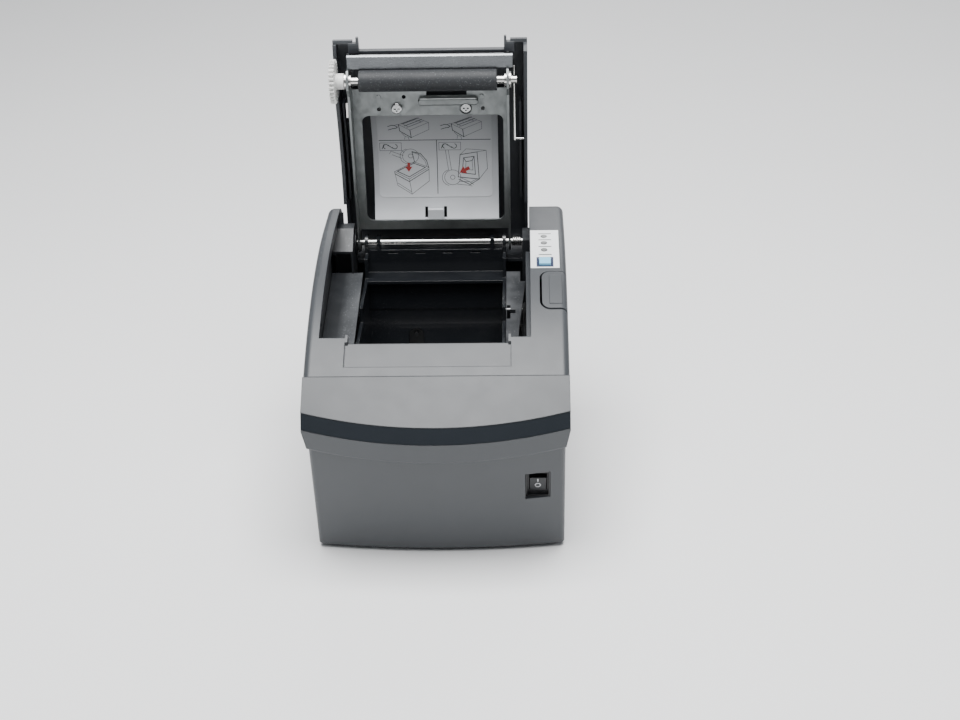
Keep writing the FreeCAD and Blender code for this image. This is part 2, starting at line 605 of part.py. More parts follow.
def make_cutter_blade():
    middle = sum(BLADE_X) / 2
    vee = 4.0
    teeth = 26
    points = [(BLADE_X[0], BLADE_REAR_Y)]
    for index in range(2 * teeth + 1):
        x = BLADE_X[0] + (BLADE_X[1] - BLADE_X[0]) * index / (2 * teeth)
        notch = 0.8 if index % 2 else 0.0
        drop = vee * (1 - abs(x - middle) / (BLADE_X[1] - middle))
        points.append((x, BLADE_EDGE_Y - notch - drop * 0.5))
    points.append((BLADE_X[1], BLADE_REAR_Y))
    corners = [V(x, y, BLADE_Z[0]) for x, y in points]
    face = Part.Face(Part.makePolygon(corners + corners[:1]))
    blade = face.extrude(V(0, 0, BLADE_Z[1] - BLADE_Z[0]))
    return blade.common(box((-99, 99), (BLADE_REAR_Y, 0), (0, 200)))


def make_cutter_frame():
    x = (BLADE_X[0] - 3.0, BLADE_X[1] + 3.0)
    y = (BLADE_REAR_Y + 0.5, -46.5)
    base = box(x, (y[0] - 13, y[1]), (CUTTER_LOW_Z, CUTTER_LOW_Z + 2))
    shelf = box(x, (y[0], y[0] + 4.4), (BLADE_Z[0] - 1.2, BLADE_Z[0]))
    cheeks = [box((side, side + 2.6), y, (CUTTER_LOW_Z, BLADE_Z[1] + 0.8)) for side in (x[0], x[1] - 2.6)]
    return fuse([base, shelf] + cheeks)


def make_paper_sensor():
    """Sensor block behind the window in the rear wall of the paper bin."""
    y = (BIN_Y + BIN_R + BIN_WALL + 0.1, BIN_Y + BIN_R + BIN_WALL + 6.0)
    body = box((ARCH_X - 8, ARCH_X + 8), y, (ARCH_Z - 14, ARCH_Z + 8))
    lens = rod_y(ARCH_X, (y[0] - 1.4, y[0] + 0.5), ARCH_Z, 1.6)
    return fuse([body, lens])


# ---------------------------------------------------------------- lid
BAR_S = (114.2, 122.2)         # fixed blade above the platen
BAR_X = (-54.0, 42.6)
BAR_Z = (BLADE_Z[1] + FIT, BLADE_Z[1] + FIT + 2.6)


def make_cover_shell():
    full_x = (LID_X[0] - 5, LID_X[1] + 5)
    inner_x = (LID_X[0] + LID_WALL, LID_X[1] - LID_WALL)
    block = casing(LID_X, 0.0, LID_FRONT_Y, 90.0)
    hollow = casing(inner_x, LID_WALL, LID_FRONT_Y + LID_WALL, 80.0)
    deep = casing(full_x, LID_DEPTH, LID_FRONT_Y - 5, 70.0)
    shell = block.cut([hollow, deep])
    hinge_zone = box(full_x, (HINGE_Y - 24.5, REAR_Y), (80.0, HEIGHT - 7.0))
    hinge_zone = hinge_zone.common(casing(full_x, LID_WALL, LID_FRONT_Y, 70.0))
    rear_low = box(full_x, (HINGE_Y - 24.5, REAR_Y + 1), (80.0, HINGE_Z + 1.0))
    gear_bay = rod_x((LID_X[0] - 1, LID_X[0] + LID_WALL + 1), PLATEN_Y, PLATEN_Z,
                     MODULE * (PLATEN_TEETH / 2 + 1) + 1.2)
    gear_drop = box((LID_X[0] - 1, LID_X[0] + LID_WALL + 1), (PLATEN_Y - 14, PLATEN_Y + 14), (80, PLATEN_Z))
    exit_x = (LIP_X[0] - 0.4, LIP_X[1] + 0.4)
    exit_notch = box(exit_x, (LID_FRONT_Y - 5, LID_EXIT_Y), (80.0, HEIGHT))
    under_front = box(full_x, (LID_FRONT_Y - 1, LID_FRONT_Y + LID_WALL + 0.1),
                      (80.0, top_z(LID_FRONT_Y) - 3))
    gear_front = box((LID_X[0] - 1, LID_X[0] + LID_WALL + 1), (LID_FRONT_Y - 1, PLATEN_Y),
                     (80.0, top_z(LID_FRONT_Y) - 4.5))
    shell = shell.cut([hinge_zone, rear_low, gear_bay, gear_drop, gear_front, exit_notch, under_front])
    lip = box(exit_x, (LID_EXIT_Y, LID_EXIT_Y + 1.6), (top_z(LID_EXIT_Y) - 5, HEIGHT))
    lip = lip.common(casing(LID_X, 0.05, LID_EXIT_Y - 1, 90.0))
    ribs = []
    for x in (LID_X[0] + 3.0, LID_X[1] - 5.0):
        rib = box((x, x + 1.4), (HINGE_Y - 90, HINGE_Y - 26), (90, HEIGHT))
        rib = rib.common(casing(LID_X, LID_WALL - 0.2, LID_FRONT_Y, 90.0))
        ribs.append(rib.cut(casing(full_x, 14.0, LID_FRONT_Y - 5, 70.0)))
    return fuse([shell, lip] + ribs + make_exit_tabs())


def make_exit_tabs():
    """Upright tabs at both ends of the paper exit, each backed by a block and clear of the lip ribs."""
    tabs = []
    for fin_x, block_x in (((LIP_X[0] + 1.8, LIP_X[0] + 3.2), (LIP_X[0] - 2.9, LIP_X[0] + 3.2)),
                           ((LIP_X[1] - 3.2, LIP_X[1] - 1.8), (LIP_X[1] - 3.2, LIP_X[1] + 2.9))):
        fin = box(fin_x, (LID_FRONT_Y - 1.9, LID_EXIT_Y + 0.8), (top_z(LID_FRONT_Y) - 4, HEIGHT))
        block = box(block_x, (LIP_RIB_REAR_Y + FIT, LID_EXIT_Y + 0.8), (top_z(LID_FRONT_Y) - 4, HEIGHT))
        tabs.append(fuse([fin, block]).common(casing(LID_X, 0.4, LID_FRONT_Y - 4, 90.0)))
    return tabs


def make_cover_frame():
    y = (HINGE_Y - FRAME_S[1], HINGE_Y - FRAME_S[0])
    z = (HINGE_Z - FRAME_T, HINGE_Z)
    plate = box(FRAME_X, y, z)
    window_y = (HINGE_Y - WINDOW_S[1], HINGE_Y - WINDOW_S[0])
    window = rounded_plate(WINDOW_X, window_y, (z[0] - 1, z[1] + 1), 4.0)
    sides = []
    for x in ((FRAME_X[0], FRAME_X[0] + FRAME_T), (FRAME_X[1] - FRAME_T, FRAME_X[1])):
        arm = prism([(HINGE_Y + 2, HINGE_Z - 5.5), (HINGE_Y - 20, HINGE_Z - 6.5),
                     (HINGE_Y - 50, HINGE_Z - 10), (PLATEN_Y + 9, PLATEN_Z - 1),
                     (PLATEN_Y + 4, PLATEN_Z - 5.5), (PLATEN_Y - 4, PLATEN_Z - 5.5),
                     (HINGE_Y - BAR_S[0] + 0.05, PLATEN_Z - 1), (HINGE_Y - BAR_S[0] + 0.05, BAR_Z[1] + 0.05),
                     (HINGE_Y - BAR_S[1] + 0.4, BAR_Z[1] + 0.05), (HINGE_Y - BAR_S[1] + 0.4, BAR_Z[1] + 4),
                     (PLATEN_Y, HINGE_Z - 1), (PLATEN_Y + 12, HINGE_Z + 4), (HINGE_Y - 10, HINGE_Z + 10),
                     (HINGE_Y + 2, HINGE_Z + 5.5)], x)
        eye = rod_x(x, HINGE_Y, HINGE_Z, 6.0)
        sides.append(fuse([arm, eye]))
    bores = [rod_x((-99, 99), HINGE_Y, HINGE_Z, ROD_R + 0.05), rod_x((-99, 99), PLATEN_Y, PLATEN_Z, 4.05)]
    dimples = [rod_z(x, HINGE_Y - s, (z[0] - 1, z[1] + 1), 1.2)
               for x, s in ((-22.5, 93.5), (-37.5, 86.0), (24.5, 86.0))]
    studs = [rod_z(x, HINGE_Y - s, (z[0] - 0.9, z[0] + 0.1), 1.3) for x, s in ((-37.5, 93.5), (24.0, 93.5))]
    finger_gap = box(FINGER_GAP_X, (y[0] - 1, HINGE_Y - FINGER_GAP_S), (z[0] - 1, z[1] + 1))
    screw_holes = [rod_z(x, HINGE_Y - COVER_SCREW_S, (z[0] - 1, z[1] + 1), 1.6) for x in COVER_SCREW_X]
    return fuse([plate] + sides + studs).cut([window, finger_gap] + bores + dimples + screw_holes)


FINGER_GAP_X = (-9.0, 15.0)    # notch in the frame over the grip tab
FINGER_GAP_S = 94.0
COVER_SCREW_X = (-26.8, 14.4)
COVER_SCREW_S = 86.7


def panel_curve(offset):
    """Points of the hollowed panel seen from the side, from its rear edge to its front edge."""
    near, far = WINDOW_S[0] - 1.5, WINDOW_S[1] + 5.0
    middle = (near + far) / 2
    depth = 9.0
    ends = HINGE_Z + 0.8 + offset
    return [V(0, HINGE_Y - near, ends), V(0, HINGE_Y - middle, ends + depth), V(0, HINGE_Y - far, ends)]


def curved_sheet(x, low, high):
    """Sheet along the panel's curve between two offsets."""
    bottom = panel_curve(low)
    top = panel_curve(high)
    edges = [Part.Arc(*bottom).toShape(), Part.makeLine(bottom[2], top[2]),
             Part.Arc(*top[::-1]).toShape(), Part.makeLine(top[0], bottom[0])]
    face = Part.Face(Part.Wire(edges))
    sheet = face.extrude(V(x[1] - x[0], 0, 0))
    sheet.translate(V(x[0], 0, 0))
    return sheet


CLIP_X = (-12.5, 1.0)           # snap clip at the panel's rear edge
LABEL_CARD_X = (-40.3, 29.4)
LABEL_CARD_S = (27.0, 82.0)


def make_inner_panel():
    sheet = curved_sheet((WINDOW_X[0] + 4.5, WINDOW_X[1] - 3.5), 0.0, 1.8)
    bosses = [rod_z(x, HINGE_Y - COVER_SCREW_S, (HINGE_Z, HINGE_Z + 8.0), 3.0) for x in COVER_SCREW_X]
    holes = [rod_z(x, HINGE_Y - COVER_SCREW_S, (HINGE_Z - 1, HINGE_Z + 9.0), 1.5) for x in COVER_SCREW_X]
    slots = [box((x, x + 1.8), (HINGE_Y - 21.5, HINGE_Y - 15), (HINGE_Z - 2, HINGE_Z + 9))
             for x in (CLIP_X[0], CLIP_X[1] - 1.8)]
    clip = box((CLIP_X[0] + 2.1, CLIP_X[1] - 2.1), (HINGE_Y - 21.0, HINGE_Y - 11.5),
               (HINGE_Z + 0.05, HINGE_Z + 2.6))
    return fuse([sheet.cut(slots), clip] + bosses).cut(holes)


def make_instruction_label():
    sheet = curved_sheet(LABEL_CARD_X, -0.25, 0.0)
    y = (HINGE_Y - LABEL_CARD_S[1], HINGE_Y - LABEL_CARD_S[0])
    return sheet.common(rounded_plate(LABEL_CARD_X, y, (HINGE_Z - 9, HINGE_Z + 30), 3.0))


def make_fixed_blade():
    y = (HINGE_Y - BAR_S[1], HINGE_Y - BAR_S[0])
    bar = box(BAR_X, y, BAR_Z)
    edge = [e for e in bar.Edges if abs(e.Vertexes[0].Y - y[0]) < 0.01 and abs(e.Vertexes[-1].Y - y[0]) < 0.01
            and e.Vertexes[0].Z < BAR_Z[0] + 0.1 and e.Vertexes[-1].Z < BAR_Z[0] + 0.1]
    return bar.makeChamfer(0.9, edge)


def make_grip_tab():
    x = (-14.0, 22.0)
    y = (HINGE_Y - 93.4, HINGE_Y - 82.6)
    low = HINGE_Z - FRAME_T
    pad = rounded_plate(x, y, (low - 1.6, low), 2.5)
    lip = rounded_plate(x, (y[0], y[0] + 4.4), (low - 4.0, low), 2.1)
    rim = [e for e in lip.Edges if e.Vertexes[0].Z < low - 3.9 and e.Vertexes[-1].Z < low - 3.9]
    lip = lip.makeFillet(1.0, rim)
    hole = rod_z(COVER_SCREW_X[1], HINGE_Y - COVER_SCREW_S, (low - 9, low + 1), 1.6)
    seat = rod_z(COVER_SCREW_X[1], HINGE_Y - COVER_SCREW_S, (low - 9, low), 3.7)
    return fuse([pad, lip]).cut([hole, seat])


def make_platen_bearings():
    rings = []
    for x in ((FRAME_X[0] - 1.2, FRAME_X[0] + 2.6), (FRAME_X[1] - 2.6, FRAME_X[1] + 1.2)):
        outside = x[0] if x[0] < 0 else FRAME_X[1]
        sleeve = rod_x(x, PLATEN_Y, PLATEN_Z, 4.0)
        flange = rod_x((outside, outside + 1.2), PLATEN_Y, PLATEN_Z, 5.2)
        rings.append(fuse([sleeve, flange]).cut(rod_x((-99, 99), PLATEN_Y, PLATEN_Z, SHAFT_R + 0.04)))
    return Part.makeCompound(rings)


def make_cover_screws():
    shape = screw(3.3, 1.9, 1.45, 7.0)
    return Part.makeCompound([placed(shape, (x, HINGE_Y - COVER_SCREW_S, HINGE_Z - FRAME_T), AXIS_X, 180)
                              for x in COVER_SCREW_X])


def make_latch_wire():
    """Steel wire along the right of the frame, with a bent foot."""
    radius = 0.8
    x = FRAME_X[1] + 3.0
    z = HINGE_Z - 1.0
    y = (HINGE_Y - 112.0, HINGE_Y - 66.0)
    run = rod_y(x, y, z, radius)
    foot = rod_x((x, x + 5.5), y[1] - radius, z, radius)
    head = rod_x((FRAME_X[1], x), y[0] + radius + 8, z, radius)
    return fuse([run, foot, head])


def make_latch_hook():
    x = (FRAME_X[0] - 2.6, FRAME_X[0])
    y = HINGE_Y - 91.0
    plate = prism([(y, HINGE_Z - 4), (y + 9, HINGE_Z - 4), (y + 13, HINGE_Z + 2), (y, HINGE_Z + 4)],
                  (x[0], x[0] + 1.2))
    pin = rod_x(x, y + 4, HINGE_Z, 1.4)
    return fuse([plate, pin])


# ---------------------------------------------------------------- platen
def make_platen_shaft():
    return rod_x((GEAR_X[0] + 0.3, FRAME_X[1] + 4.6), PLATEN_Y, PLATEN_Z, SHAFT_R)


def make_platen_rubber():
    sleeve = rod_x(PLATEN_X, PLATEN_Y, PLATEN_Z, PLATEN_R)
    rims = [e for e in sleeve.Edges if abs(e.Length - 2 * math.pi * PLATEN_R) < 0.01]
    return sleeve.makeFillet(0.5, rims).cut(rod_x((-99, 99), PLATEN_Y, PLATEN_Z, SHAFT_R))


def make_platen_gear():
    wheel = gear(PLATEN_TEETH, GEAR_X, PLATEN_Y, PLATEN_Z, -90.0, SHAFT_R)
    web_r = MODULE * (PLATEN_TEETH / 2 - 1.25) - 1.6
    hollow = rod_x((GEAR_X[0] - 1, GEAR_X[0] + 1.6), PLATEN_Y, PLATEN_Z, web_r)
    hub = rod_x((GEAR_X[0], FRAME_X[0] - 1.6), PLATEN_Y, PLATEN_Z, 4.6)
    return fuse([wheel.cut(hollow), hub]).cut(rod_x((-99, 99), PLATEN_Y, PLATEN_Z, SHAFT_R))


# ---------------------------------------------------------------- feed train
def make_idler_gear():
    x = (GEAR_X[0] + 0.6, GEAR_X[1] - 0.6)
    phase = 90.0 + 180.0 / IDLER_TEETH
    return gear(IDLER_TEETH, x, PLATEN_Y, IDLER_Z, phase, 1.55)


def make_idler_pin():
    return rod_x((GEAR_X[0] - 0.4, -55.2), PLATEN_Y, IDLER_Z, 1.5)


def make_pinion_gear():
    x = (GEAR_X[0] + 0.6, GEAR_X[1] - 0.6)
    phase = PINION_DIRECTION - 180.0 + 180.0 / PINION_TEETH
    wheel = gear(PINION_TEETH, x, PINION_Y, PINION_Z, phase, 1.0)
    shaft = rod_x((x[0], -46.0), PINION_Y, PINION_Z, 1.0)
    return fuse([wheel, shaft])


def make_feed_motor():
    body = rod_x((-54.0, -34.0), PINION_Y, PINION_Z, MOTOR_R)
    flange = box((-55.2, -54.0), (PINION_Y - 10, PINION_Y + 9), (PINION_Z - 5, PINION_Z + 4))
    return fuse([body, flange]).cut(rod_x((-56, -45.5), PINION_Y, PINION_Z, 1.04))


# ---------------------------------------------------------------- controls and electrics
def make_open_button():
    skin = round_long_edges(casing((-HALF_W, HALF_W)), (-HALF_W, HALF_W), EDGE_R)
    skin = skin.cut(casing((-HALF_W, HALF_W - WALL), WALL, SEAM_Y - 1, SPLIT_Z))
    block = button_block(BUTTON_GAP)
    trimmed = block.common(box((0, 99), (-99, 99), (BUTTON_SIDE_Z + BUTTON_TRAVEL + 0.8, 200)))
    pad = box((BUTTON_X + 5.4, HALF_W - 3), (BUTTON_Y[0] + 4.0, BUTTON_Y[1] - 4.0), (110, HEIGHT + 2))
    pad = pad.common(casing((-HALF_W, HALF_W), -0.45)).cut(lower_than(0.5))
    stem_y = sum(BUTTON_Y) / 2
    stem = box((62.0, 66.0), (stem_y - 3, stem_y + 3), (118.0, top_z(stem_y, WALL - 0.3)))
    return fuse([skin.common(trimmed), pad, stem])


def make_feed_button():
    cap = box(FEED_X, FEED_Y, (100.0, 150.0)).common(casing((-HALF_W, HALF_W), -1.1))
    return cap.cut(casing((-HALF_W, HALF_W), 3.0, SEAM_Y - 1, SPLIT_Z))


def make_control_label():
    sheet = box(LABEL_X, LABEL_Y, (120, HEIGHT)).common(casing((-HALF_W, HALF_W), 0.02))
    sheet = sheet.cut(casing((-HALF_W, HALF_W), 0.3, SEAM_Y - 1, SPLIT_Z))
    return sheet.cut([feed_hole()] + [rod_z(LED_X, y, (120, HEIGHT + 1), 1.6) for y in LED_Y])


def make_status_leds():
    leds = []
    for y in LED_Y:
        light = rod_z(LED_X, y, (top_z(y) - 5.4, HEIGHT), 1.5)
        leds.append(light.common(casing((-HALF_W, HALF_W), -0.15)))
    return Part.makeCompound(leds)


def make_panel_board():
    y = (-1.0, 46.0)
    under, over = 7.4, 5.8
    points = [(y[0], top_z(y[0]) - under), (y[1], top_z(y[1]) - under), (y[1], top_z(y[1]) - over),
              (y[0], top_z(y[0]) - over)]
    return prism(points, (53.6, 69.0))


ROCKER_PIVOT_DEPTH = 7.5
ROCKER_PIN_R = 1.2


def make_switch_housing():
    front = SWITCH_FACE[0] + 1.2
    inner_x = (SWITCH_X[0] + 1, SWITCH_X[1] - 1)
    inner_z = (SWITCH_Z[0] + 1, SWITCH_Z[1] - 1)
    gap = 0.35
    tub = box((SWITCH_X[0] + 0.15, SWITCH_X[1] - 0.15), (front, front + 16),
              (SWITCH_Z[0] + 0.15, SWITCH_Z[1] - 0.15))
    recess = box(inner_x, (front - 1, front + 2.2), inner_z)
    well = box((ROCKER_X[0] - gap, ROCKER_X[1] + gap), (front - 1, front + 13),
               (ROCKER_Z[0] - gap - 0.5, ROCKER_Z[1] + gap))
    pivot = rod_x((ROCKER_X[0] - 1.2, ROCKER_X[1] + 1.2), SWITCH_FACE[0] + ROCKER_PIVOT_DEPTH,
                  SWITCH_FACE[1], ROCKER_PIN_R + 0.04)
    return leaned(tub.cut([recess, well, pivot]))


def make_power_rocker():
    pivot_y = SWITCH_FACE[0] + ROCKER_PIVOT_DEPTH
    pivot_z = SWITCH_FACE[1]
    front = SWITCH_FACE[0] + 1.4
    half = (ROCKER_Z[1] - ROCKER_Z[0]) / 2 - 0.5
    dish = 0.7
    face = [(pivot_y + 1.5, pivot_z - half + 3.0), (front + 0.6, pivot_z - half), (front + dish, pivot_z),
            (front + 0.6, pivot_z + half), (pivot_y + 1.5, pivot_z + half - 3.0)]
    pin = rod_x((ROCKER_X[0] - 0.9, ROCKER_X[1] + 0.9), pivot_y, pivot_z, ROCKER_PIN_R)
    rocker = fuse([prism(face, ROCKER_X), pin])
    rocker.rotate(V(0, pivot_y, pivot_z), AXIS_X, ROCKER_TILT)
    return leaned(rocker)


def make_rear_panel():
    x = (REAR_PLATE_X[0] + 0.2, REAR_PLATE_X[1] - 0.2)
    z = (REAR_PLATE_Z[0] + 0.2, REAR_PLATE_Z[1] - 0.2)
    plate = box(x, (LOWER_REAR_Y - 8.0, LOWER_REAR_Y - 6.6), z)
    return plate.cut([box(c_x, (70, 95), c_z) for c_x, c_z in PORTS.values()])


PORTS = {
    "power_inlet": ((-50.0, -34.0), (16.0, 30.0)),
    "drawer_port": ((-24.0, -10.0), (16.0, 30.0)),
    "network_port": ((0.0, 16.0), (16.0, 30.0)),
    "data_port": ((28.0, 42.0), (15.5, 29.5)),
}
PORT_RIM = 1.2
PORT_DEPTH = 14.0


def make_port(name):
    """Socket: a box with a rectangular mouth to the rear and a tongue of contacts inside."""
    x, z = PORTS[name]
    x = (x[0] + 0.1, x[1] - 0.1)
    z = (z[0] + 0.1, z[1] - 0.1)
    y = (LOWER_REAR_Y - 8.0 - PORT_DEPTH, LOWER_REAR_Y - 5.6)
    body = box(x, y, z)
    mouth = box((x[0] + PORT_RIM, x[1] - PORT_RIM), (y[0] + 2, y[1] + 1), (z[0] + PORT_RIM, z[1] - PORT_RIM))
    tongue = box((x[0] + 4, x[1] - 4), (y[0] + 1, y[1] - 3), (z[0] + PORT_RIM + 1, z[0] + PORT_RIM + 2.5))
    return body.cut(mouth).fuse(tongue).removeSplitter()


def make_main_board():
    return box((-54.0, 46.0), (54.0, 82.0), (13.6, 15.2))


PARTS = {
    "upper_case": make_upper_case,
    "lower_case": make_lower_case,
    "front_cover": make_front_cover,
    "front_band": make_front_band,
    "bottom_cover": make_bottom_cover,
    "rubber_feet": make_rubber_feet,
    "case_screws": make_case_screws,
    "paper_bin": make_paper_bin,
    "left_side_frame": make_left_side_frame,
    "right_side_frame": make_right_side_frame,
    "hinge_rod": make_hinge_rod,
    "hinge_spring": make_hinge_spring,
    "head_element": make_head_element,
    "head_heatsink": make_head_heatsink,
    "head_bracket": make_head_bracket,
    "head_springs": make_head_springs,
    "cutter_blade": make_cutter_blade,
    "cutter_frame": make_cutter_frame,
    "paper_sensor": make_paper_sensor,
    "idler_gear": make_idler_gear,
    "idler_pin": make_idler_pin,
    "pinion_gear": make_pinion_gear,
    "feed_motor": make_feed_motor,
    "open_button": make_open_button,
    "feed_button": make_feed_button,
    "control_label": make_control_label,
    "status_leds": make_status_leds,
    "panel_board": make_panel_board,
    "switch_housing": make_switch_housing,
    "power_rocker": make_power_rocker,
    "rear_panel": make_rear_panel,
    "main_board": make_main_board,
}

LID_PARTS = {
    "cover_shell": make_cover_shell,
    "cover_frame": make_cover_frame,
    "inner_panel": make_inner_panel,
    "instruction_label": make_instruction_label,
    "fixed_blade": make_fixed_blade,
    "grip_tab": make_grip_tab,
    "platen_bearings": make_platen_bearings,
    "cover_screws": make_cover_screws,
    "latch_wire": make_latch_wire,
    "latch_hook": make_latch_hook,
    "platen_shaft": make_platen_shaft,
    "platen_rubber": make_platen_rubber,
    "platen_gear": make_platen_gear,
}


def save(name, shape):
    shape.exportStep(f"parts/{name}.step")
    volume = sum(solid.Volume for solid in shape.Solids)
    print(name, "solids", len(shape.Solids), "valid", shape.isValid(), "mm3", round(volume))


for part_name, maker in PARTS.items():
    save(part_name, maker())
for part_name, maker in LID_PARTS.items():
    save(part_name, opened(maker()))
for part_name in PORTS:
    save(part_name, make_port(part_name))
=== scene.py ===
import math

import bmesh
import bpy
from mathutils import Matrix, Vector


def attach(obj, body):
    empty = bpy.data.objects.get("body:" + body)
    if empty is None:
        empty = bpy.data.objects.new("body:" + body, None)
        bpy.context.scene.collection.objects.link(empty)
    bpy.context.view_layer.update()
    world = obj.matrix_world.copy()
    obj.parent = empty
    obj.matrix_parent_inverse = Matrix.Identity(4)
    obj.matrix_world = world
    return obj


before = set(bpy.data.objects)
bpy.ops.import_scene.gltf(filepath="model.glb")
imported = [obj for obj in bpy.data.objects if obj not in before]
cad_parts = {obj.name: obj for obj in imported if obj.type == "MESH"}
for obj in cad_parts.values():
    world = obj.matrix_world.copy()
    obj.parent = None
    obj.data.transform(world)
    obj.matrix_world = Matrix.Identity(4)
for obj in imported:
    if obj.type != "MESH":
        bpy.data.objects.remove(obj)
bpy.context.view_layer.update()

MM = 0.001


# ---------------------------------------------------------------- materials
LID_INSIDE_X = (-0.0622, 0.0508)
LID_INSIDE_TOP = 0.2508


class Look:
    """A node-based material built up from small named steps."""

    def __init__(self, name, colour, rough, metallic=0.0):
        self.mat = bpy.data.materials.new(name)
        self.mat.use_nodes = True
        self.tree = self.mat.node_tree
        self.bsdf = self.tree.nodes["Principled BSDF"]
        self.bsdf.inputs["Base Color"].default_value = (*colour, 1)
        self.bsdf.inputs["Roughness"].default_value = rough
        self.bsdf.inputs["Metallic"].default_value = metallic
        self.coords = self.node("ShaderNodeTexCoord").outputs["Object"]
        self.colour = None
        self.normal = None

    def node(self, kind, **settings):
        made = self.tree.nodes.new(kind)
        for key, value in settings.items():
            setattr(made, key, value)
        return made

    def link(self, source, target):
        self.tree.links.new(source, target)

    def noise(self, scale, detail=3.0, rough=0.55, stretch=(1, 1, 1)):
        mapping = self.node("ShaderNodeMapping")
        mapping.inputs["Scale"].default_value = stretch
        self.link(self.coords, mapping.inputs["Vector"])
        made = self.node("ShaderNodeTexNoise")
        made.inputs["Scale"].default_value = scale
        made.inputs["Detail"].default_value = detail
        made.inputs["Roughness"].default_value = rough
        self.link(mapping.outputs["Vector"], made.inputs["Vector"])
        return made.outputs["Fac"]

    def ramp(self, source, low, high, start=0.0, end=1.0):
        made = self.node("ShaderNodeMapRange")
        made.inputs["From Min"].default_value = low
        made.inputs["From Max"].default_value = high
        made.inputs["To Min"].default_value = start
        made.inputs["To Max"].default_value = end
        self.link(source, made.inputs["Value"])
        return made.outputs["Result"]

    def mix(self, share, first, second):
        """Mixes two colours, each a socket or a plain colour, by a socket between 0 and 1."""
        made = self.node("ShaderNodeMix", data_type="RGBA")
        self.link(share, made.inputs[0])
        for socket, value in ((made.inputs[6], first), (made.inputs[7], second)):
            if isinstance(value, tuple):
                socket.default_value = (*value, 1)
            else:
                self.link(value, socket)
        return made.outputs[2]

    def times(self, first, second):
        made = self.node("ShaderNodeMath", operation="MULTIPLY")
        self.link(first, made.inputs[0])
        if isinstance(second, float):
            made.inputs[1].default_value = second
        else:
            self.link(second, made.inputs[1])
        return made.outputs[0]

    def between(self, value, low, high):
        """1 where the socket's value lies between low and high."""
        centre = (low + high) / 2
        made = self.node("ShaderNodeMath", operation="COMPARE")
        self.link(value, made.inputs[0])
        made.inputs[1].default_value = centre
        made.inputs[2].default_value = (high - low) / 2
        return made.outputs[0]

    def parts_of(self, socket):
        """The X, Y and Z outputs of a vector."""
        split = self.node("ShaderNodeSeparateXYZ")
        self.link(socket, split.inputs[0])
        return split.outputs

    def facing_up(self, low=0.2, high=0.9):
        """0 where a face stands upright, rising to 1 where it is level."""
        geometry = self.node("ShaderNodeNewGeometry")
        split = self.node("ShaderNodeSeparateXYZ")
        self.link(geometry.outputs["Normal"], split.inputs[0])
        return self.ramp(split.outputs["Z"], low, high)

    def paint(self, socket):
        self.colour = socket
        self.link(socket, self.bsdf.inputs["Base Color"])

    def roughness(self, socket):
        self.link(socket, self.bsdf.inputs["Roughness"])

    def soft_edges(self, radius):
        bevel = self.node("ShaderNodeBevel", samples=4)
        bevel.inputs["Radius"].default_value = radius
        self.normal = bevel.outputs["Normal"]
        self.link(self.normal, self.bsdf.inputs["Normal"])

    def bump(self, height, distance, strength=1.0):
        made = self.node("ShaderNodeBump")
        made.inputs["Distance"].default_value = distance
        made.inputs["Strength"].default_value = strength
        self.link(height, made.inputs["Height"])
        if self.normal is not None:
            self.link(self.normal, made.inputs["Normal"])
        self.normal = made.outputs["Normal"]
        self.link(self.normal, self.bsdf.inputs["Normal"])


def shade(colour, factor):
    return tuple(min(1.0, part * factor) for part in colour)


def moulded(name, colour, rough, grain=2600.0, depth=0.00002, dust=0.0, edge=0.0005, coat=0.0):
    """Moulded plastic: fine spark texture, faint handling marks and, where asked, settled dust."""
    look = Look(name, colour, rough)
    cloud = look.noise(28.0, 4.0)
    base = look.mix(look.ramp(cloud, 0.3, 0.7), shade(colour, 0.97), shade(colour, 1.03))
    if dust:
        specks = look.ramp(look.noise(900.0, 2.0), 0.66, 0.74)
        film = look.ramp(look.noise(60.0, 5.0), 0.42, 0.75, 0.0, 0.55)
        lit = look.facing_up(-0.2, 0.8)
        share = look.node("ShaderNodeMath", operation="MAXIMUM")
        look.link(specks, share.inputs[0])
        look.link(film, share.inputs[1])
        base = look.mix(look.times(look.times(share.outputs[0], lit), dust), base, (0.32, 0.33, 0.34))
    look.paint(base)
    look.roughness(look.ramp(look.noise(90.0, 4.0), 0.3, 0.7, rough * 0.95, min(1.0, rough * 1.05)))
    look.bsdf.inputs["Coat Weight"].default_value = coat
    look.soft_edges(edge)
    look.bump(look.noise(grain, 2.0, 0.7), depth)
    return look.mat


def ledge_plastic(name, colour, dusty):
    """Black ledge with pale dust gathered on its level faces beside the paper bin."""
    look = Look(name, colour, 0.45)
    cloud = look.ramp(look.noise(30.0, 4.0), 0.3, 0.7)
    base = look.mix(cloud, shade(colour, 0.85), shade(colour, 1.15))
    place = look.parts_of(look.coords)
    beside = look.ramp(place["X"], -0.0615, -0.0575)
    specks = look.ramp(look.noise(1100.0, 2.0), 0.6, 0.72, 0.25, 1.0)
    smear = look.ramp(look.noise(45.0, 5.0), 0.35, 0.7, 0.35, 1.0)
    share = look.times(look.times(look.times(specks, smear), beside), look.facing_up(0.1, 0.8))
    look.paint(look.mix(share, base, dusty))
    look.roughness(look.ramp(look.noise(90.0, 4.0), 0.3, 0.7, 0.4, 0.55))
    look.soft_edges(0.0004)
    look.bump(look.noise(2600.0, 2.0, 0.7), 0.00001)
    return look.mat


